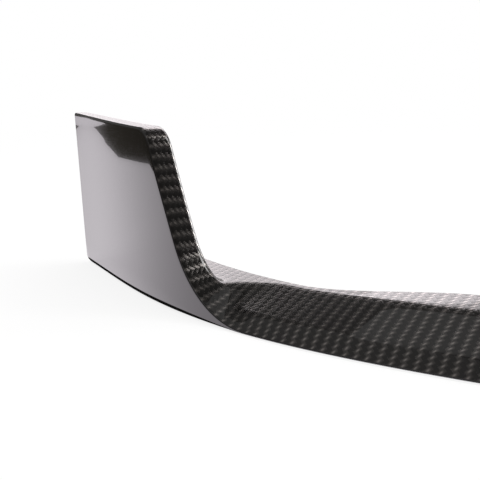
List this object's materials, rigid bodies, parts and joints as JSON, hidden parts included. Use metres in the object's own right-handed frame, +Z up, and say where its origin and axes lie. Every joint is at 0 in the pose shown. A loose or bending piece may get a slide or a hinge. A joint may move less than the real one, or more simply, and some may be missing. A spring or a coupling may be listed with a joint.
{
  "type": "front bumper lip",
  "caption": "Gloss twill carbon-fibre front bumper lip: a low blade with a raked, swept-up fin at each end and a screw flange under it.",
  "frame": {"origin": "on the floor, under the middle of the lip's overall box, in its centre plane", "axes": "+X across the car, -Y towards the nose, +Z up"},
  "size_m": [1.778, 0.5328, 0.0885],
  "materials": {
    "carbon": "clear-coated twill carbon-fibre laminate, high gloss"
  },
  "bodies": {
    "root": {"front_lip": "carbon"}
  },
  "joints": []
}
